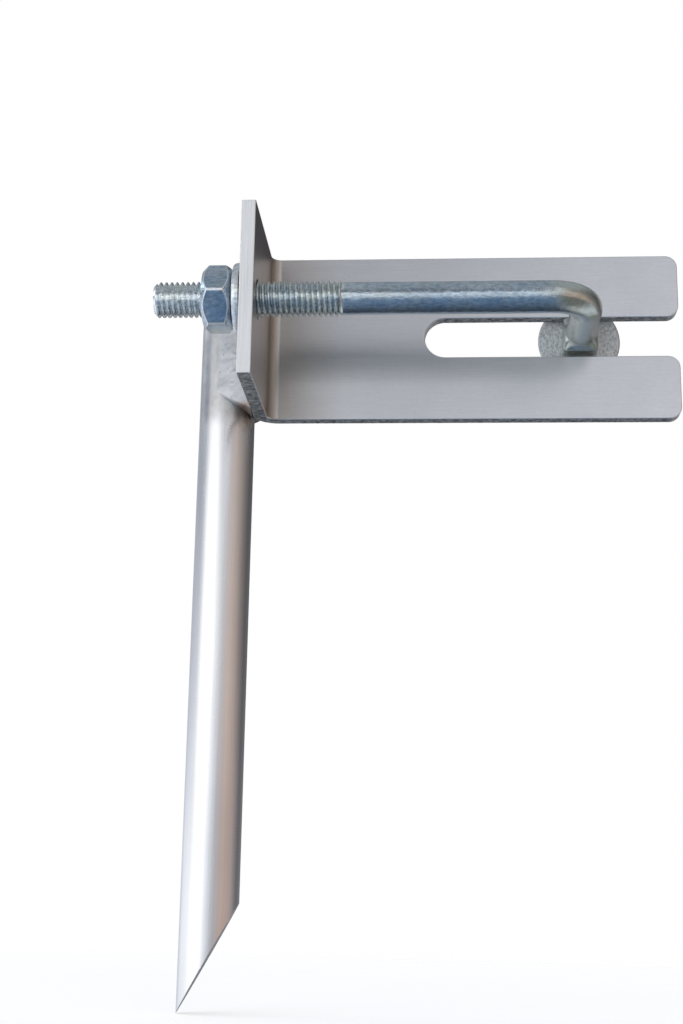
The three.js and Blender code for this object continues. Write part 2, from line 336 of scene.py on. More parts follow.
def rear_weld_bead(material):
    """The rippled bead in the valley between the bar and the outside of the bend."""
    bm = bmesh.new()
    middle = Vector((6.0 * MM, 4.5 * MM, 0))
    tilt = Matrix.Rotation(math.radians(-27), 3, "Z")
    across_dir = tilt @ Vector((1, 0, 0))
    outward = tilt @ Vector((0, 1, 0))
    half_width = 5.5 * MM
    half_thick = 3.3 * MM
    reach = math.radians(112)
    levels = 260
    around = 72
    top = REAR_HI.z - 4.6 * MM
    rows = []
    for i in range(levels + 1):
        z = mix(REAR_LO.z, REAR_HI.z, i / levels)
        foot = min((z - REAR_LO.z) / (4 * MM), 1.0)
        head = min((REAR_HI.z - z) / (4.5 * MM), 1.0)
        ends = math.sqrt(max(1 - (1 - foot) ** 2, 0)) * math.sqrt(max(1 - (1 - head) ** 2, 0))
        crater_share = smoothstep((z - top + 5.6 * MM) / (2 * MM))
        row = []
        for j in range(around + 1):
            side = mix(-1, 1, j / around)
            angle = side * reach
            lifted = 0.5 * MM * ripple_height(side * 1.25, z, REAR_LO.z) * (1 - crater_share)
            lifted += crater(half_width * angle * 0.86, z - top)
            lifted += 0.07 * MM * noise.fractal(Vector((side * 4, z / (1.6 * MM), 0)), 0.8, 2.0, 3)
            bulge = 1 + 0.05 * ripple_height(1, z, REAR_LO.z) * abs(math.sin(angle))
            place = across_dir * (half_width * bulge * ends * math.sin(angle))
            place += outward * (half_thick * ends * math.cos(angle))
            normal = across_dir * math.sin(angle) / half_width
            normal += outward * math.cos(angle) / half_thick
            place += normal.normalized() * (lifted * ends)
            row.append(middle + place + Vector((0, 0, z)))
        rows.append(row)
    add_grid(bm, rows)
    return finish_piece(
        "rear_weld_ripples", bm, "anchor", material, ["rear_weld_bead"], 60
    )


def front_weld_bead(material):
    """The smooth fillet from the bar's front to the flange's outer face. Its lower end sags
    towards the flange, and a seam of small dimples runs down it where two passes met."""
    bm = bmesh.new()
    root = Vector((7.7 * MM, -3.1 * MM, 0))
    on_bar = Vector((-3.2 * MM, -7.25 * MM, 0))
    shoulder = Vector((2.4 * MM, -9.6 * MM, 0))
    on_flange = Vector((8.3 * MM, -12.9 * MM, 0))
    outward = Vector((-0.42, -0.9, 0)).normalized()
    levels = 220
    around = 64
    rows = []
    for i in range(levels + 1):
        t = i / levels
        row = []
        for j in range(around + 1):
            u = j / around
            low = mix(2.4, -0.9, u) * MM
            z = mix(low, FRONT_HI.z, t)
            foot = min((z - low) / (mix(5.0, 0.9, u) * MM), 1.0)
            head = min((FRONT_HI.z - z) / (4 * MM), 1.0)
            ends = math.sqrt(max(1 - (1 - foot) ** 2, 0)) * math.sqrt(max(1 - (1 - head) ** 2, 0))
            surface = on_bar * (1 - u) ** 2 + shoulder * 2 * u * (1 - u) + on_flange * u * u
            soft = noise.fractal(Vector((u * 2.2, z / (5.5 * MM), 5.5)), 0.9, 2.0, 3)
            bumps = noise.noise(Vector((u * 9, z / (1.1 * MM), 2.5)))
            seam_u = 0.42 + 0.012 * (z - low) / MM
            seam = math.exp(-((u - seam_u) / 0.1) ** 2)
            lifted = (0.13 * soft + seam * (0.1 * bumps - 0.1)) * MM * math.sin(math.pi * u) ** 0.5
            place = root + (surface - root) * ends + outward * (lifted * ends)
            row.append(place + Vector((0, 0, z)))
        row.append(root + Vector((0, 0, row[around].z)))
        rows.append(row)
    add_grid(bm, rows)
    return finish_piece(
        "front_weld_fillet", bm, "anchor", material, ["front_weld_bead"], 60
    )


# ---------------------------------------------------------------------------
# Threads
# ---------------------------------------------------------------------------


def thread_depth(part):
    """How far below its crest a 60 degree thread lies, 0 to 1, at a part of one pitch."""
    crest = 0.16
    root = 0.14
    flank = (1 - crest - root) / 2
    if part < crest:
        return 0.0
    if part < crest + flank:
        return smoothstep((part - crest) / flank) * 0.35 + 0.65 * (part - crest) / flank
    if part < crest + flank + root:
        return 1.0
    left = 1 - part
    return smoothstep(left / flank) * 0.35 + 0.65 * left / flank


def helix_rows(start, end, radius_at, around=72, per_pitch=14):
    """Rows that follow a right-hand helix about +X, cut off square at both ends."""
    rows = []
    turns = math.ceil((end - start) / PITCH) + 2
    for i in range(turns * per_pitch + 1):
        row = []
        for j in range(around + 1):
            share = j / around
            x = start - PITCH + PITCH * (i / per_pitch + share)
            x = min(max(x, start), end)
            radius = radius_at(x, (i / per_pitch) % 1)
            angle = 2 * math.pi * share
            row.append((x, -radius * math.sin(angle), radius * math.cos(angle)))
        rows.append(row)
    return rows


# ---------------------------------------------------------------------------
# Hook bolt
# ---------------------------------------------------------------------------


def bolt_thread_radius(x, part):
    chamfer = TIP_R + (x - BOLT_LO.x)
    runout = smoothstep((THREAD_END_X + 0.4 * MM - x) / (1.8 * MM))
    cut = THREAD_DEPTH * thread_depth(part)
    threaded = THREAD_R - cut
    radius = mix(SHANK_R - 0.02 * MM, threaded, runout)
    return min(radius, chamfer)


def add_thread(bm):
    rows = helix_rows(BOLT_LO.x, THREAD_END_X + 0.5 * MM, bolt_thread_radius)
    for row in rows:
        for k, (x, y, z) in enumerate(row):
            row[k] = Vector((x, BOLT_Y + y, BOLT_Z + z))
    add_grid(bm, rows, closed=False, cap_start=False, cap_end=False)
    around = 72
    rings = []
    for radius, sunk in ((TIP_R, 0.0), (TIP_R * 0.93, 0.0), (TIP_R * 0.6, 0.12), (0.2 * MM, 0.15)):
        ring = []
        for j in range(around):
            angle = 2 * math.pi * j / around
            y = BOLT_Y - radius * math.sin(angle)
            z = BOLT_Z + radius * math.cos(angle)
            ring.append((BOLT_LO.x + sunk * MM, y, z))
        rings.append(ring)
    add_grid(bm, rings, cap_start=False)


def rounded_square(angle, half, corner):
    """Distance from the centre of a rounded square to its side, at an angle."""
    c = abs(math.cos(angle))
    s = abs(math.sin(angle))
    big, small = max(c, s), min(c, s)
    straight = half / big
    if straight * small <= half - corner:
        return straight
    inner = half - corner
    along = inner * (c + s)
    return along + math.sqrt(max(along * along - 2 * inner * inner + corner * corner, 0))


def add_shank(bm):
    """The plain shank: along the arm, round the hook, and widening into the square neck."""
    around = 72
    rows = []

    def ring(centre, sideways, radius_at):
        row = []
        for j in range(around):
            angle = 2 * math.pi * j / around
            radius = radius_at(angle)
            place = centre + sideways * (radius * math.cos(angle))
            row.append(place + Vector((0, 0, radius * math.sin(angle))))
        rows.append(row)

    def round_shank(angle):
        return SHANK_R

    def square_neck(angle):
        return rounded_square(angle, NECK / 2, NECK_CORNER_R)

    turn_x = HOOK_X - HOOK_R
    turn_y = BOLT_Y + HOOK_R
    leg = 24
    for i in range(leg):
        x = mix(THREAD_END_X - 0.5 * MM, turn_x, i / leg)
        ring(Vector((x, BOLT_Y, BOLT_Z)), Vector((0, -1, 0)), round_shank)
    turn = 28
    for i in range(turn + 1):
        angle = math.pi / 2 * i / turn
        centre = Vector((turn_x + HOOK_R * math.sin(angle), turn_y - HOOK_R * math.cos(angle), BOLT_Z))
        outward = Vector((math.sin(angle), -math.cos(angle), 0))
        flatten = 0.12 * MM * math.sin(2 * angle)
        ring(centre, outward, lambda a, f=flatten: SHANK_R - f * math.cos(a) ** 2)
    neck_start = HEAD_Y - NECK_DEPTH
    swell = 3.2 * MM
    for i in range(1, 9):
        y = mix(turn_y, neck_start - swell, i / 8)
        ring(Vector((HOOK_X, y, BOLT_Z)), Vector((1, 0, 0)), round_shank)
    for i in range(1, 15):
        t = i / 14
        y = mix(neck_start - swell, neck_start, t)
        blend = smoothstep(t)

        def swelling(angle, blend=blend):
            return mix(SHANK_R, square_neck(angle), blend)

        ring(Vector((HOOK_X, y, BOLT_Z)), Vector((1, 0, 0)), swelling)
    for i in range(1, 4):
        y = mix(neck_start, HEAD_Y + 0.5 * MM, i / 3)
        ring(Vector((HOOK_X, y, BOLT_Z)), Vector((1, 0, 0)), square_neck)
    add_grid(bm, rows)


def add_head(bm):
    """The forged cup head: a thin rim, a swelling cone and a small rough flat crown."""
    around = 128
    rim = 1.0 * MM
    flat_r = 2.3 * MM
    outline = [(0.4 * MM, 0.0), (NECK / 2, 0.0), (HEAD_R * 0.7, 0.0)]
    outline += [(HEAD_R - 0.5 * MM, 0.02 * MM), (HEAD_R - 0.15 * MM, 0.15 * MM)]
    outline += [(HEAD_R, 0.45 * MM), (HEAD_R - 0.08 * MM, rim)]
    rings = 26
    for i in range(1, rings + 1):
        inward = i / rings
        radius = mix(HEAD_R - 0.08 * MM, flat_r, inward)
        height = mix(rim, HEAD_HEIGHT - 0.06 * MM, inward + 0.15 * math.sin(math.pi * inward))
        outline.append((radius, height))
    outline += [(flat_r * 0.85, HEAD_HEIGHT - 0.02 * MM), (0.3 * MM, HEAD_HEIGHT - 0.02 * MM)]
    rows = []
    for radius, height in outline:
        row = []
        for j in range(around):
            angle = 2 * math.pi * j / around
            edge = smoothstep((radius / HEAD_R - 0.6) / 0.4)
            wander = noise.noise(Vector((math.cos(angle) * 1.6, math.sin(angle) * 1.6, 2.2)))
            r = radius - edge * 0.12 * MM * (0.5 + 0.5 * wander)
            place = (HOOK_X + r * math.cos(angle), HEAD_Y + height, BOLT_Z + r * math.sin(angle))
            row.append(place)
        rows.append(row)
    add_grid(bm, rows)


def sunk_in_thread(place, normal):
    """0 on the thread's crests and everywhere off the thread, 1 in its roots."""
    radius = math.hypot(place.y - BOLT_Y, place.z - BOLT_Z)
    on_thread = BOLT_LO.x + 1 * MM < place.x < THREAD_END_X
    return min(max((THREAD_R - radius) / THREAD_DEPTH, 0.0), 1.0) if on_thread else 0.0


def hook_bolt(material):
    bm = bmesh.new()
    add_thread(bm)
    add_shank(bm)
    add_head(bm)
    tag_faces(bm, "sunk", sunk_in_thread)
    return finish_piece("bent_cup_bolt", bm, "bolt", material, ["hook_bolt"], 38)


# ---------------------------------------------------------------------------
# Nut and washer
# ---------------------------------------------------------------------------


def off_flat(angle):
    """How far an angle about the nut's axis is from the middle of the nearest flat."""
    return abs((angle + NUT_SECTOR / 2) % NUT_SECTOR - NUT_SECTOR / 2)


def hex_radius(angle):
    """Distance from the nut's axis to its side, flats up and down, corners a little round."""
    local = off_flat(angle)
    flat = NUT_FLATS / 2
    centre = (flat - NUT_CORNER_R) / math.cos(NUT_SECTOR / 2)
    from_corner = NUT_SECTOR / 2 - local
    ray = centre * math.cos(from_corner)
    miss = centre * math.sin(from_corner)
    if flat * math.tan(local) <= (flat - NUT_CORNER_R) * math.tan(NUT_SECTOR / 2):
        return flat / math.cos(local)
    return ray + math.sqrt(max(NUT_CORNER_R * NUT_CORNER_R - miss * miss, 0))


def cone_depth(angle):
    """How far the nut's coned end cuts down its side, at an angle."""
    return max(hex_radius(angle) - NUT_FACE_R, 0.0) * NUT_SLOPE


def hex_nut(material):
    """A hexagon with coned ends and a countersunk, plain bore that closes on the bolt's thread."""
    bm = bmesh.new()
    per_side = 24
    around = 6 * per_side
    bore_r = 5.35 * MM

    def ring(radius_at, x_at):
        row = []
        for j in range(around):
            sector = j // per_side
            step = (j % per_side) / per_side
            spread = 0.5 - 0.5 * math.cos(math.pi * step)
            angle = (sector + spread + 0.5) * NUT_SECTOR
            r = radius_at(angle)
            x = x_at(angle)
            turned = angle - NUT_TURN
            row.append((x, BOLT_Y + r * math.sin(turned), BOLT_Z + r * math.cos(turned)))
        return row

    def at(value):
        return lambda angle: value

    def half(end, inward):
        yield ring(at(bore_r - 0.55 * MM), at(end + inward * 0.62 * MM))
        yield ring(at(bore_r), at(end + inward * 0.02 * MM))
        yield ring(at(bore_r + 0.1 * MM), at(end))
        yield ring(at(NUT_FACE_R - 0.25 * MM), at(end))
        yield ring(at(NUT_FACE_R), at(end + inward * 0.03 * MM))
        for t in (0.33, 0.66, 0.88):
            def on_cone(angle, t=t):
                return mix(NUT_FACE_R, hex_radius(angle), t)
            yield ring(on_cone, lambda a, t=t: end + inward * (0.03 * MM + cone_depth(a) * t))
        yield ring(hex_radius, lambda a: end + inward * (cone_depth(a) + NUT_EDGE))

    sides = list(half(NUT_LO.x, 1)) + list(reversed(list(half(NUT_HI.x, -1))))
    lines = add_grid(bm, sides, cap_start=False, cap_end=False)
    inner = [bm.verts.new(v.co) for v in lines[0]]
    far = [bm.verts.new(v.co) for v in lines[-1]]
    for j in range(around):
        k = (j + 1) % around
        bm.faces.new((inner[j], far[j], far[k], inner[k]))
    # Marks the nut's corners and coned edges for a painted highlight.
    tag_faces(bm, "edge_highlight", nut_edge_highlight)
    return finish_piece("threaded_nut", bm, "nut", material, ["hex_nut"], 22)


def nut_edge_highlight(place, normal):
    """Above 0 on the nut's corners and on the narrow band where its sides turn into its coned ends:
    where the nut gets a painted highlight."""
    angle = math.atan2(place.y - BOLT_Y, place.z - BOLT_Z) + NUT_TURN
    cone = cone_depth(angle)
    depth = min(place.x - NUT_LO.x, NUT_HI.x - place.x)
    if 0.93 * cone < depth < cone + NUT_EDGE and cone > 0.1 * MM:
        return 0.8
    outside = math.hypot(place.y - BOLT_Y, place.z - BOLT_Z) > NUT_FLATS * 0.45
    if depth <= cone or not outside:
        return 0.0
    toward_corner = math.tan(off_flat(angle)) / math.tan(NUT_SECTOR / 2)
    return smoothstep((toward_corner - 0.86) / 0.12)


def flat_washer(material):
    """A punched ring: one edge rolled over, the other left crisp."""
    bm = bmesh.new()
    around = 96
    lo, hi = WASHER_LO.x, WASHER_HI.x
    bore = 5.25 * MM
    roll = 0.6 * MM
    drop = 1.3 * MM
    outline = [(bore, lo + 0.2 * MM), (bore + 0.15 * MM, lo + 0.02 * MM), (bore + 0.5 * MM, lo)]
    outline.append((WASHER_R - roll - 0.3 * MM, lo))
    for i in range(7):
        a = math.pi / 2 * i / 6
        outline.append((WASHER_R - roll + roll * math.sin(a), lo + drop * (1 - math.cos(a))))
    outline += [(WASHER_R, hi - 0.12 * MM), (WASHER_R - 0.12 * MM, hi)]
    outline += [(bore + 0.2 * MM, hi), (bore, hi - 0.12 * MM)]
    rows = []
    for radius, x in outline:
        row = []
        for j in range(around):
            angle = 2 * math.pi * j / around
            row.append((x, BOLT_Y + radius * math.sin(angle), BOLT_Z + radius * math.cos(angle)))
        rows.append(row)
    rows.append(list(rows[0]))
    add_grid(bm, rows, cap_start=False, cap_end=False)
    return finish_piece("punched_washer", bm, "washer", material, ["flat_washer"])


# ---------------------------------------------------------------------------
# Materials
# ---------------------------------------------------------------------------


class Look:
    """A metal's node tree, built with short calls. Places are in metres, in the row's frame."""

    def __init__(self, name, metallic=1.0, anisotropic=0.0):
        self.material = bpy.data.materials.new(name)
        self.material.use_nodes = True
        self.tree = self.material.node_tree
        self.tree.nodes.clear()
        output = self.tree.nodes.new("ShaderNodeOutputMaterial")
        self.shader = self.tree.nodes.new("ShaderNodeBsdfPrincipled")
        self.tree.links.new(self.shader.outputs[0], output.inputs[0])
        self.shader.inputs["Metallic"].default_value = metallic
        self.shader.inputs["Anisotropic"].default_value = anisotropic
        self.place = self.tree.nodes.new("ShaderNodeTexCoord").outputs["Object"]

    def feed(self, socket, value):
        if isinstance(value, bpy.types.NodeSocket):
            self.tree.links.new(value, socket)
        elif value is not None:
            socket.default_value = value

    def node(self, kind, inputs, **settings):
        made = self.tree.nodes.new(kind)
        for key, value in settings.items():
            setattr(made, key, value)
        for key, value in inputs.items():
            self.feed(made.inputs[key], value)
        return made

    def stretched(self, x, y, z):
        """The place, scaled to repeats per metre along each axis."""
        return self.node("ShaderNodeMapping", {"Vector": self.place, "Scale": (x, y, z)}).outputs[0]

    def grain(self, scale, detail=3.0, rough=0.55, warp=0.0):
        """Noise with a size of its own along X, Y and Z, given as repeats per metre."""
        inputs = {"Vector": self.stretched(*scale), "Scale": 1.0, "Detail": detail}
        inputs.update({"Roughness": rough, "Distortion": warp})
        return self.node("ShaderNodeTexNoise", inputs).outputs["Fac"]

    def cells(self, scale):
        """Distance from the nearest of the points scattered over the metal."""
        inputs = {"Vector": self.stretched(*scale), "Scale": 1.0}
        return self.node("ShaderNodeTexVoronoi", inputs).outputs["Distance"]

    def ramp(self, value, *stops):
        made = self.node("ShaderNodeValToRGB", {"Fac": value})
        elements = made.color_ramp.elements
        while len(elements) < len(stops):
            elements.new(0.5)
        for element, (place, level) in zip(elements, stops):
            element.position = place
            colour = level if isinstance(level, tuple) else (level,) * 3
            element.color = (*colour, 1)
        return made.outputs[0]

    def maths(self, operation, a, b=0.0, clamp=False):
        made = self.node("ShaderNodeMath", {0: a, 1: b}, operation=operation, use_clamp=clamp)
        return made.outputs[0]

    def blend(self, share, a, b, mode="MIX"):
        made = self.node("ShaderNodeMix", {"Factor": share}, data_type="RGBA", blend_type=mode)
        for key, value in ((6, a), (7, b)):
            if isinstance(value, tuple):
                value = (*value, 1)
            self.feed(made.inputs[key], value)
        return made.outputs[2]

    def axis(self, name):
        return self.node("ShaderNodeSeparateXYZ", {0: self.place}).outputs[name]

    def along(self, name, start, end):
        """0 at one place along an axis and 1 at another."""
        return self.node("ShaderNodeMapRange", {0: self.axis(name), 1: start, 2: end}).outputs[0]

    def band(self, name, low, high, soft):
        """1 between two places along an axis, fading over soft outside them."""
        rise = self.along(name, low - soft, low)
        fall = self.along(name, high, high + soft)
        return self.maths("MULTIPLY", rise, self.maths("SUBTRACT", 1.0, fall))

    def bump(self, height, depth, below=None):
        inputs = {"Height": height, "Strength": 1.0, "Distance": depth, "Normal": below}
        return self.node("ShaderNodeBump", inputs).outputs[0]

    def mark(self, name):
        """A number stored on the faces."""
        made = self.node("ShaderNodeAttribute", {}, attribute_name=name)
        return made.outputs["Fac"]

    def heat_tint(self, colour):
        """Browns a colour around the foot of the welds, where the bar meets the flange."""
        place = (BRACKET_LO.x + 0.9 * MM, -7 * MM, -0.4 * MM)
        inputs = {0: self.place, 1: place}
        away = self.node("ShaderNodeVectorMath", inputs, operation="DISTANCE").outputs["Value"]
        near = self.node("ShaderNodeMapRange", {0: away, 1: 6.5 * MM, 2: 2 * MM}).outputs[0]
        patchy = self.ramp(self.grain((500, 500, 500), detail=4), (0.35, 0.35), (0.6, 1.0))
        return self.blend(self.maths("MULTIPLY", near, patchy), colour, (0.34, 0.19, 0.07))

    def tangent(self, x, y, z):
        made = self.node("ShaderNodeCombineXYZ", {0: x, 1: y, 2: z})
        self.feed(self.shader.inputs["Tangent"], made.outputs[0])

    def coat(self, colour, roughness, normal):
        self.feed(self.shader.inputs["Base Color"], colour)
        self.feed(self.shader.inputs["Roughness"], roughness)
        self.feed(self.shader.inputs["Normal"], normal)
        return self.material


def brushed_plate():
    """Cold rolled aluminium strip: fine lines along it, faint clouds, pits and scratches. Its edges
    are sheared across their thickness. Painted shade: the strip is darker and warmer towards the bend,
    and its cut edges that face down are painted dark and mottled. Painted highlight: the rounded
    corners of its cut edges are painted lighter."""
    look = Look("brushed_plate", anisotropic=0.25)
    look.tangent(0.0, 0.0, 1.0)
    fine = look.grain((90, 2600, 2600), detail=4)
    streaks = look.grain((16, 16, 600), detail=3)
    clouds = look.grain((45, 45, 45), detail=5, warp=0.3)
    scratched = look.ramp(look.grain((30, 30, 5200), detail=2), (0.68, 0.0), (0.74, 1.0))
    pits = look.ramp(look.cells((330, 330, 330)), (0.03, 1.0), (0.06, 0.0))
    # Painted shade: a darker, warmer tone near the bend, where the flange shades the arm.
    bend_shade = look.band("X", BRACKET_LO.x, BEND_X + 2 * MM, 16 * MM)
    clean = look.ramp(clouds, (0.3, (0.75, 0.755, 0.78)), (0.7, (0.81, 0.815, 0.835)))
    bend_shaded = look.blend(bend_shade, clean, (0.66, 0.62, 0.59))
    lined = look.blend(0.18, bend_shaded, look.ramp(fine, (0.25, 0.5), (0.75, 0.95)), "MULTIPLY")
    face = look.blend(look.maths("MULTIPLY", scratched, 0.2), lined, (0.88, 0.88, 0.9))
    speckle = look.ramp(look.grain((700, 1300, 1300), detail=5), (0.3, 0.955), (0.65, 1.0))
    face = look.blend(1.0, face, speckle, "MULTIPLY")
    # Painted shade: the arm's colour darkens towards the bend.
    shade_toward_bend = look.ramp(look.along("X", BEND_X, BEND_X + 75 * MM), (0.0, 0.86), (1.0, 1.0))
    face = look.blend(1.0, face, shade_toward_bend, "MULTIPLY")
    face = look.heat_tint(look.blend(look.maths("MULTIPLY", pits, 0.25), face, (0.2, 0.2, 0.22)))
    cut = look.mark("sheared")
    upright = look.grain((1900, 1900, 60), detail=3)
    level = look.grain((60, 1900, 1900), detail=3)
    on_flange = look.band("X", 0, BRACKET_LO.x + PLATE, 0.1 * MM)
    shear = look.blend(on_flange, level, upright)
    # Painted shade: the cut edges that face down are painted dark and mottled.
    underside_shade = look.ramp(look.grain((700, 700, 700), detail=5, warp=0.5), (0.35, 0.18), (0.65, 0.62))
    under = look.mark("underneath")
    edge = look.blend(under, look.ramp(shear, (0.3, 0.9), (0.6, 1.0)), underside_shade)
    colour = look.blend(look.ramp(cut, (0.5, 0.0), (0.95, 1.0)), face, edge)
    # Painted highlight: the rounded corners of the cut edges are painted lighter.
    edge_highlight = look.ramp(cut, (0.05, 0.0), (0.3, 1.0), (0.7, 1.0), (0.95, 0.0))
    colour = look.blend(look.maths("MULTIPLY", edge_highlight, 0.6), colour, (0.9, 0.9, 0.91))
    rough = look.maths("ADD", 0.30, look.maths("MULTIPLY", streaks, 0.08))
    rough = look.maths("ADD", rough, look.maths("MULTIPLY", cut, 0.28))
    rough = look.maths("SUBTRACT", rough, look.maths("MULTIPLY", edge_highlight, 0.1))
    cuts = look.bump(look.maths("MULTIPLY", shear, cut), 0.03 * MM)
    normal = look.bump(pits, -0.05 * MM, look.bump(fine, 0.005 * MM, cuts))
    return look.coat(colour, rough, normal)


def drawn_bar():
    """Drawn aluminium bar: long fine lines, slow tone changes and scuffs down its length. Its sawn
    ends have saw marks across them, and they are painted dark, a painted shade."""
    look = Look("drawn_bar", anisotropic=0.6)
    look.tangent(0.0, 0.0, 1.0)
    look.shader.inputs["Anisotropic Rotation"].default_value = 0.25
    fine = look.grain((2400, 2400, 30), detail=4)
    streaks = look.grain((420, 420, 5), detail=3)
    clouds = look.grain((60, 60, 22), detail=4)
    scuffs = look.ramp(look.grain((160, 160, 40), detail=6, warp=0.6), (0.6, 0.0), (0.78, 1.0))
    tone = look.ramp(clouds, (0.3, (0.74, 0.745, 0.76)), (0.7, (0.82, 0.82, 0.83)))
    lined = look.blend(0.2, tone, look.ramp(fine, (0.25, 0.55), (0.75, 0.95)), "MULTIPLY")
    drawn = look.blend(look.maths("MULTIPLY", scuffs, 0.3), lined, (0.86, 0.86, 0.87))
    sawn = look.mark("sawn")
    saw_marks = look.grain((300, 4200, 300), detail=3)
    # Painted shade: the sawn ends are painted dark, their saw marks a little lighter.
    colour = look.blend(sawn, drawn, look.ramp(saw_marks, (0.3, 0.16), (0.7, 0.4)))
    smut = look.grain((190, 190, 190), detail=5)
    welded = look.band("Z", 0, BAR_HI.z, 4 * MM)
    hazed = look.maths("MULTIPLY", welded, look.ramp(smut, (0.3, 0.65), (0.6, 1.0)))
    matt = look.ramp(look.grain((420, 420, 300), detail=5), (0.3, 0.46), (0.7, 0.64))
    front = look.band("Y", -BAR_R, -3 * MM, 1 * MM)
    smoke = look.maths("MULTIPLY", look.band("X", -5.6 * MM, -4.9 * MM, 0.9 * MM), front)
    smoke = look.maths("MULTIPLY", smoke, look.maths("MULTIPLY", hazed, 0.6))
    colour = look.blend(smoke, look.blend(hazed, colour, matt), (0.20, 0.22, 0.28))
    colour = look.heat_tint(colour)
    rough = look.maths("ADD", 0.21, look.maths("MULTIPLY", streaks, 0.14))
    rough = look.maths("ADD", rough, look.maths("MULTIPLY", scuffs, 0.1))
    rough = look.maths("ADD", rough, look.maths("MULTIPLY", hazed, 0.12))
    below = look.bump(look.maths("MULTIPLY", saw_marks, sawn), 0.06 * MM)
    normal = look.bump(fine, 0.012 * MM, look.bump(streaks, 0.012 * MM, below))
    return look.coat(colour, rough, normal)


def weld_metal():
    """As-welded aluminium: whitish skin, tiny pits, and a burnt stain at the bead's foot."""
    look = Look("weld_metal")
    skin = look.grain((900, 900, 900), detail=5)
    frost = look.grain((260, 260, 260), detail=4)
    clouds = look.grain((90, 90, 90), detail=3)
    pits = look.cells((420, 420, 420))
    pitted = look.ramp(pits, (0.06, 1.0), (0.11, 0.0))
    low = look.band("Z", FRONT_LO.z, 0.6 * MM, 2 * MM)
    stain = look.maths("MULTIPLY", low, look.ramp(frost, (0.3, 0.5), (0.6, 1.0)))
    white = look.ramp(frost, (0.3, (0.46, 0.47, 0.50)), (0.7, (0.66, 0.67, 0.69)))
    white = look.blend(look.ramp(clouds, (0.35, 0.0), (0.65, 0.5)), white, (0.52, 0.53, 0.55))
    burnt = look.blend(look.maths("MULTIPLY", stain, 0.9), white, (0.24, 0.13, 0.05))
    colour = look.blend(look.maths("MULTIPLY", pitted, 0.3), burnt, (0.25, 0.25, 0.28))
    rough = look.maths("ADD", 0.34, look.maths("MULTIPLY", frost, 0.24))
    normal = look.bump(skin, 0.05 * MM, look.bump(pitted, -0.08 * MM))
    return look.coat(colour, rough, normal)


def zinc_plate(name, tint_dark, tint_light, roughness, threaded=False):
    """Bright zinc plate: a bluish film over rolled steel, cloudy and finely orange-peeled. Where the
    head was forged, under it and at its crown, the steel is coarse. The hook gets a warmer, duller
    tint. On a threaded bolt, the thread's free end is painted lighter, a painted highlight, and its
    roots are painted dark, a painted shade. Faces marked on a nut's corners and edges are painted near
    white, a painted highlight."""
    look = Look(name)
    under = look.band("Y", HEAD_Y - 0.1 * MM, HEAD_Y + 0.1 * MM, 0.05 * MM)
    crown = look.band("Y", BOLT_HI.y - 0.12 * MM, BOLT_HI.y, 0.08 * MM)
    forged = look.maths("ADD", under, crown, clamp=True)
    coarse = look.grain((1700, 1000, 1200), detail=5, rough=0.7)
    film = look.grain((230, 230, 230), detail=5, warp=0.4)
    clouds = look.grain((70, 110, 110), detail=3)
    peel = look.grain((600, 1300, 1300), detail=4)
    flecks = look.ramp(look.cells((800, 800, 800)), (0.1, 1.0), (0.3, 0.0))
    hue = look.blend(look.ramp(clouds, (0.35, 0.0), (0.65, 1.0)), tint_dark, tint_light)
    if threaded:
        cut = look.band("X", BOLT_LO.x, THREAD_END_X, 0.5 * MM)
        rolled = look.ramp(film, (0.3, (0.74, 0.80, 0.80)), (0.7, (0.95, 0.98, 0.97)))
        # Painted highlight: the thread's free end, beyond the nut, is painted near white.
        highlit_end = look.band("X", BOLT_LO.x, NUT_LO.x, 1 * MM)
        rolled = look.blend(look.maths("MULTIPLY", highlit_end, 0.8), rolled, (0.98, 1.0, 1.0))
        hue = look.blend(cut, hue, rolled)
        # Painted shade: the thread's roots are painted dark, but not on its free end.
        root_shade = look.ramp(look.mark("sunk"), (0.45, 0.0), (1.0, 0.5))
        root_shade = look.maths("MULTIPLY", root_shade, look.maths("SUBTRACT", 1.0, highlit_end))
        hue = look.blend(root_shade, hue, (0.22, 0.27, 0.29))
    blue, grey, straw = (0.45, 0.62, 0.82), (0.66, 0.76, 0.8), (0.78, 0.78, 0.68)
    rainbow = look.ramp(film, (0.3, blue), (0.5, grey), (0.7, straw))
    tinted = look.blend(0.3, hue, rainbow)
    tinted = look.blend(1.0, tinted, look.ramp(peel, (0.3, 0.66), (0.6, 1.0)), "MULTIPLY")
    colour = look.blend(look.maths("MULTIPLY", flecks, 0.3), tinted, (0.3, 0.36, 0.42))
    scale = look.ramp(coarse, (0.34, (0.52, 0.57, 0.60)), (0.6, (0.98, 1.0, 1.0)))
    # A warmer, duller tint over the hook's short leg and bend.
    leg = look.band("Y", BOLT_Y + 4 * MM, BOLT_HI.y, 6 * MM)
    bend = look.band("X", HOOK_X - HOOK_R + 4 * MM, BOLT_HI.x, 8 * MM)
    hook_tint = look.maths("MAXIMUM", leg, bend)
    colour = look.blend(look.maths("MULTIPLY", hook_tint, 0.6), colour, (0.62, 0.63, 0.53))
    colour = look.blend(forged, colour, scale)
    rough = look.maths("ADD", roughness, look.maths("MULTIPLY", film, 0.16))
    rough = look.maths("ADD", rough, look.maths("MULTIPLY", forged, 0.25))
    # Painted highlight: faces marked on the nut's corners and edges are painted near white and made
    # rougher.
    edge_highlight = look.mark("edge_highlight")
    colour = look.blend(edge_highlight, colour, (0.96, 0.98, 1.0))
    rough = look.maths("ADD", rough, look.maths("MULTIPLY", edge_highlight, 0.3))
    grainy = look.bump(look.maths("MULTIPLY", coarse, forged), 0.5 * MM)
    normal = look.bump(peel, 0.08 * MM, look.bump(film, 0.06 * MM, grainy))
    return look.coat(colour, rough, normal)


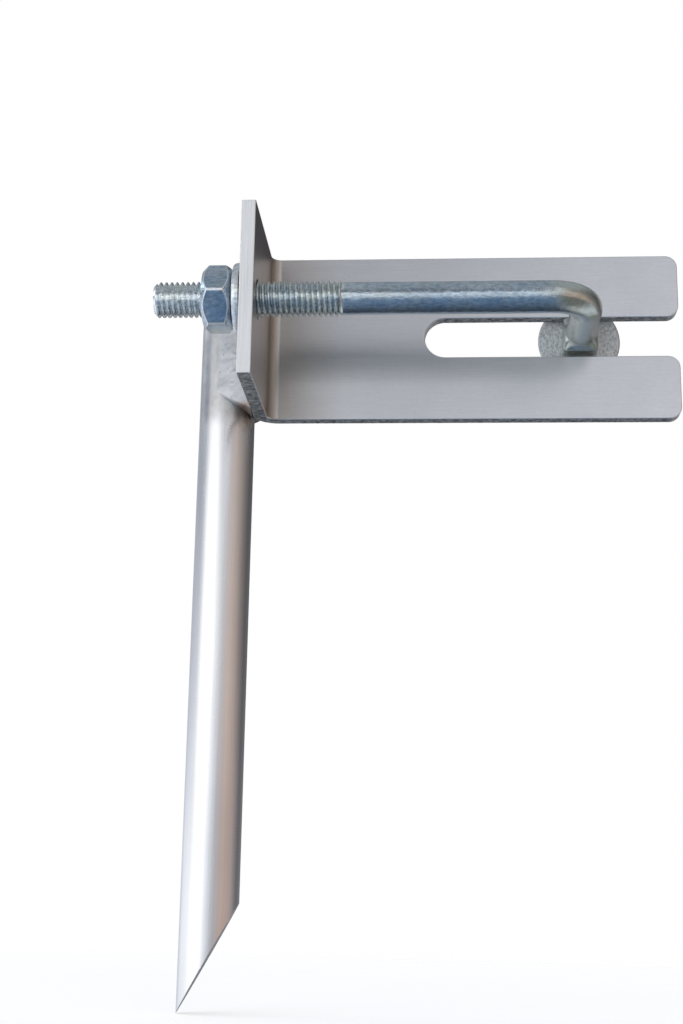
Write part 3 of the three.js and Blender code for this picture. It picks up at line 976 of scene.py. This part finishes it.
def pale_floor():
    """Matt and nearly white, with faint clouds and a little glow that keeps it white. Away from
    the object it clears to the backdrop."""
    look = Look("pale_floor", metallic=0.0)
    cloud = look.grain((3, 3, 3), detail=2)
    colour = look.ramp(cloud, (0.3, (0.95, 0.95, 0.955)), (0.7, (0.98, 0.98, 0.98)))
    look.shader.inputs["Specular IOR Level"].default_value = 0
    look.shader.inputs["Emission Color"].default_value = (1, 1, 1, 1)
    look.shader.inputs["Emission Strength"].default_value = 0.55
    away = look.node("ShaderNodeVectorMath", {0: look.place}, operation="LENGTH").outputs["Value"]
    near = BAR_R - BAR_LO.z
    clear = look.node("ShaderNodeMapRange", {0: away, 1: near, 2: 3 * near}).outputs[0]
    look.feed(look.shader.inputs["Alpha"], look.maths("SUBTRACT", 1.0, clear))
    return look.coat(colour, 0.9, None)


# ---------------------------------------------------------------------------
# Stage, light and camera
# ---------------------------------------------------------------------------


def floor():
    """A pale disc under the bar's point. Metals don't see it, so their undersides stay dark."""
    bm = bmesh.new()
    bmesh.ops.create_circle(bm, cap_ends=True, radius=6.0, segments=96)
    bmesh.ops.translate(bm, verts=bm.verts, vec=(0, 0, BAR_LO.z))
    mesh = bpy.data.meshes.new("studio_floor")
    bm.to_mesh(mesh)
    bm.free()
    mesh.materials.append(pale_floor())
    disc = bpy.data.objects.new("studio_floor", mesh)
    bpy.context.scene.collection.objects.link(disc)
    disc.visible_glossy = False


def soft_light(name, target, azimuth_deg, elevation_deg, distance, size, power, colour):
    """A square soft box. Azimuth is from the viewer's side (-Y), positive to the right."""
    a = math.radians(azimuth_deg)
    e = math.radians(elevation_deg)
    away = Vector((math.sin(a) * math.cos(e), -math.cos(a) * math.cos(e), math.sin(e)))
    data = bpy.data.lights.new(name, "AREA")
    data.shape = "RECTANGLE"
    data.size, data.size_y = size
    data.energy = power
    data.color = colour
    lamp = bpy.data.objects.new(name, data)
    lamp.location = target + away * distance
    lamp.rotation_euler = away.to_track_quat("Z", "Y").to_euler()
    bpy.context.scene.collection.objects.link(lamp)


# What the metal mirrors: a room as colours around the horizon, in degrees from the viewer's
# side (-Y), positive to the right. One band for each height of the bar's and plate's mirrors.
# The colours were typed in one by one and tuned until the metal's reflections were as bright as in the
# photo, so this isn't a neutral studio and the metals would look plainer in one.
FLOOR_BAND = [
    (-180, (0.16, 0.16, 0.18)), (-163, (0.42, 0.43, 0.47)), (-144, (0.74, 0.76, 0.84)),
    (-124, (1.05, 1.10, 1.20)), (-110, (1.20, 1.26, 1.36)), (-90, (1.18, 1.21, 1.26)),
    (-78, (1.30, 1.32, 1.34)), (-64, (1.60, 1.60, 1.60)), (-34, (1.75, 1.75, 1.75)),
    (-17, (1.40, 1.42, 1.46)), (-8, (0.86, 0.90, 0.97)), (4, (0.74, 0.80, 0.88)),
    (20, (0.46, 0.47, 0.51)), (46, (0.67, 0.51, 0.44)), (75, (0.62, 0.46, 0.39)),
    (92, (0.52, 0.44, 0.42)), (110, (0.26, 0.24, 0.25)), (130, (0.13, 0.13, 0.14)),
    (158, (0.26, 0.26, 0.28)), (180, (0.16, 0.16, 0.18)),
]
LOW_BAND = [
    (-180, (0.12, 0.12, 0.13)), (-163, (0.34, 0.34, 0.38)), (-144, (0.56, 0.57, 0.65)),
    (-110, (0.58, 0.62, 0.72)), (-90, (0.60, 0.64, 0.71)), (-78, (0.80, 0.82, 0.86)),
    (-64, (1.7, 1.7, 1.7)), (-34, (1.95, 1.95, 1.95)), (-17, (1.75, 1.75, 1.75)),
    (-8, (1.24, 1.25, 1.27)), (4, (1.06, 1.08, 1.11)), (20, (0.66, 0.66, 0.68)),
    (46, (0.77, 0.62, 0.54)), (75, (0.53, 0.44, 0.39)), (98, (0.20, 0.18, 0.18)),
    (130, (0.10, 0.10, 0.10)), (155, (0.16, 0.16, 0.17)), (180, (0.12, 0.12, 0.13)),
]
MIDDLE_BAND = [
    (-180, (0.08, 0.08, 0.09)), (-144, (0.46, 0.48, 0.54)), (-124, (0.36, 0.40, 0.47)),
    (-110, (0.17, 0.21, 0.28)), (-95, (0.20, 0.24, 0.30)), (-80, (0.50, 0.53, 0.58)),
    (-66, (1.3, 1.3, 1.3)), (-50, (2.3, 2.3, 2.3)), (-30, (2.3, 2.3, 2.3)),
    (-17, (1.85, 1.85, 1.85)), (-8, (1.04, 1.06, 1.10)), (4, (0.98, 1.01, 1.06)),
    (20, (0.72, 0.72, 0.76)), (46, (0.74, 0.60, 0.54)), (75, (0.44, 0.38, 0.34)),
    (98, (0.20, 0.19, 0.18)), (130, (0.10, 0.10, 0.10)), (180, (0.08, 0.08, 0.09)),
]
HIGH_BAND = [
    (-180, (0.05, 0.05, 0.06)), (-150, (0.36, 0.36, 0.40)), (-112, (0.58, 0.62, 0.68)),
    (-90, (0.42, 0.46, 0.53)), (-76, (0.28, 0.34, 0.42)), (-60, (0.50, 0.54, 0.60)),
    (-40, (0.72, 0.74, 0.78)), (-22, (0.62, 0.64, 0.68)), (-13, (0.24, 0.25, 0.28)),
    (-8, (0.05, 0.055, 0.07)), (-3, (0.05, 0.06, 0.09)), (2, (0.13, 0.15, 0.20)),
    (8, (0.74, 0.78, 0.84)), (18, (0.88, 0.88, 0.91)), (40, (0.46, 0.43, 0.41)),
    (80, (0.28, 0.25, 0.23)), (110, (0.12, 0.12, 0.12)), (180, (0.05, 0.05, 0.06)),
]
ZENITH = (0.40, 0.43, 0.46)
GROUND_SIDE = (0.72, 0.75, 0.80)
GROUND_RIGHT = (0.20, 0.21, 0.20)
GROUND_FRONT = (0.18, 0.27, 0.40)
GROUND_BACK = (0.06, 0.075, 0.10)
ROOM_PEAK = 2.5


def studio_world():
    """White behind the object, and the room of the bands above in what the metal mirrors."""
    world = bpy.data.worlds.new("studio")
    bpy.context.scene.world = world
    world.use_nodes = True
    tree = world.node_tree
    tree.nodes.clear()

    def node(kind, inputs=(), **settings):
        made = tree.nodes.new(kind)
        for key, value in settings.items():
            setattr(made, key, value)
        for key, value in dict(inputs).items():
            if isinstance(value, bpy.types.NodeSocket):
                tree.links.new(value, made.inputs[key])
            else:
                made.inputs[key].default_value = value
        return made

    def ring(around, stops):
        made = node("ShaderNodeValToRGB", {0: around})
        made.color_ramp.interpolation = "EASE"
        elements = made.color_ramp.elements
        while len(elements) < len(stops):
            elements.new(0.5)
        for element, (degrees, colour) in zip(elements, stops):
            element.position = (degrees + 180) / 360
            element.color = (*(c / ROOM_PEAK for c in colour), 1)
        return made.outputs[0]

    def blend(share, a, b):
        made = node("ShaderNodeMix", {0: share}, data_type="RGBA")
        for key, value in ((6, a), (7, b)):
            if isinstance(value, tuple):
                made.inputs[key].default_value = (*(c / ROOM_PEAK for c in value), 1)
            else:
                tree.links.new(value, made.inputs[key])
        return made.outputs[2]

    def rise(low_deg, high_deg):
        """0 below one elevation and 1 above another."""
        low = math.sin(math.radians(low_deg))
        high = math.sin(math.radians(high_deg))
        inputs = {0: split.outputs["Z"], 1: low, 2: high}
        return node("ShaderNodeMapRange", inputs, interpolation_type="SMOOTHSTEP").outputs[0]

    direction = node("ShaderNodeTexCoord").outputs["Generated"]
    split = node("ShaderNodeSeparateXYZ", {0: direction})
    toward = node("ShaderNodeMath", {0: split.outputs["Y"], 1: -1.0}, operation="MULTIPLY").outputs[0]
    turn = node("ShaderNodeMath", {0: split.outputs["X"], 1: toward}, operation="ARCTAN2").outputs[0]
    around = node("ShaderNodeMapRange", {0: turn, 1: -math.pi, 2: math.pi}).outputs[0]
    sky = blend(rise(2, 9), ring(around, FLOOR_BAND), ring(around, LOW_BAND))
    sky = blend(rise(12, 15), sky, ring(around, MIDDLE_BAND))
    sky = blend(rise(16, 19), sky, ring(around, HIGH_BAND))
    sky = blend(rise(28, 60), sky, ZENITH)
    forward = node("ShaderNodeMapRange", {0: toward, 1: -0.5, 2: 0.8}).outputs[0]
    off_axis = node("ShaderNodeMath", {0: split.outputs["X"]}, operation="ABSOLUTE").outputs[0]
    sideways = node("ShaderNodeMapRange", {0: off_axis, 1: 0.16, 2: 0.45}).outputs[0]
    ahead = blend(rise(-32, -6), blend(forward, GROUND_BACK, GROUND_FRONT), sky)
    rightward = node("ShaderNodeMapRange", {0: split.outputs["X"], 1: 0.1, 2: 0.4}).outputs[0]
    near_side = node("ShaderNodeMapRange", {0: toward, 1: -0.4, 2: 0.1}).outputs[0]
    right_front = node("ShaderNodeMath", {0: rightward, 1: near_side}, operation="MULTIPLY").outputs[0]
    aside = blend(rise(-13, -5), blend(right_front, GROUND_SIDE, GROUND_RIGHT), sky)
    room = blend(sideways, ahead, aside)
    mirrored = node("ShaderNodeBackground", {0: room, 1: ROOM_PEAK})
    backdrop = node("ShaderNodeBackground", {0: (1, 1, 1, 1), 1: 1.0})
    seen = node("ShaderNodeLightPath").outputs["Is Camera Ray"]
    choice = node("ShaderNodeMixShader", {0: seen, 1: mirrored.outputs[0], 2: backdrop.outputs[0]})
    node("ShaderNodeOutputWorld", {0: choice.outputs[0]})


def camera(aim, distance, azimuth_deg, elevation_deg, roll_deg, lens):
    """A camera that looks at a point. Azimuth is from the -Y side, positive to the right."""
    a = math.radians(azimuth_deg)
    e = math.radians(elevation_deg)
    away = Vector((math.sin(a) * math.cos(e), -math.cos(a) * math.cos(e), math.sin(e)))
    data = bpy.data.cameras.new("studio_camera")
    data.lens = lens
    data.sensor_width = 36
    data.clip_start = 0.01
    view = bpy.data.objects.new("studio_camera", data)
    turn = away.to_track_quat("Z", "Y").to_matrix().to_4x4()
    roll = Matrix.Rotation(math.radians(roll_deg), 4, "Z")
    view.matrix_world = Matrix.Translation(aim + away * distance) @ turn @ roll
    bpy.context.scene.collection.objects.link(view)
    bpy.context.scene.camera = view


# ---------------------------------------------------------------------------
# Build
# ---------------------------------------------------------------------------

weld = weld_metal()
bolt_zinc = zinc_plate("bolt_zinc", (0.40, 0.49, 0.58), (0.60, 0.68, 0.75), 0.15, threaded=True)
nut_zinc = zinc_plate("nut_zinc", (0.33, 0.43, 0.56), (0.50, 0.60, 0.72), 0.13)
bright_zinc = zinc_plate("bright_zinc_plate", (0.92, 0.95, 0.99), (0.99, 0.99, 1.0), 0.3)
angle_bracket(brushed_plate())
spike_bar(drawn_bar())
rear_weld_bead(weld)
front_weld_bead(weld)
hook_bolt(bolt_zinc)
flat_washer(bright_zinc)
hex_nut(nut_zinc)

floor()
studio_world()
AIM = Vector((33.9 * MM, 0, -27.7 * MM))
soft_light("key_box", AIM, -99, 27, 1.4, (0.6, 0.16), 0.85, (1.0, 1.0, 1.0))
camera(AIM, 443.9 * MM, 4.098, -14.025, 1.011, 54.52)
bpy.context.scene.view_settings.view_transform = "Standard"
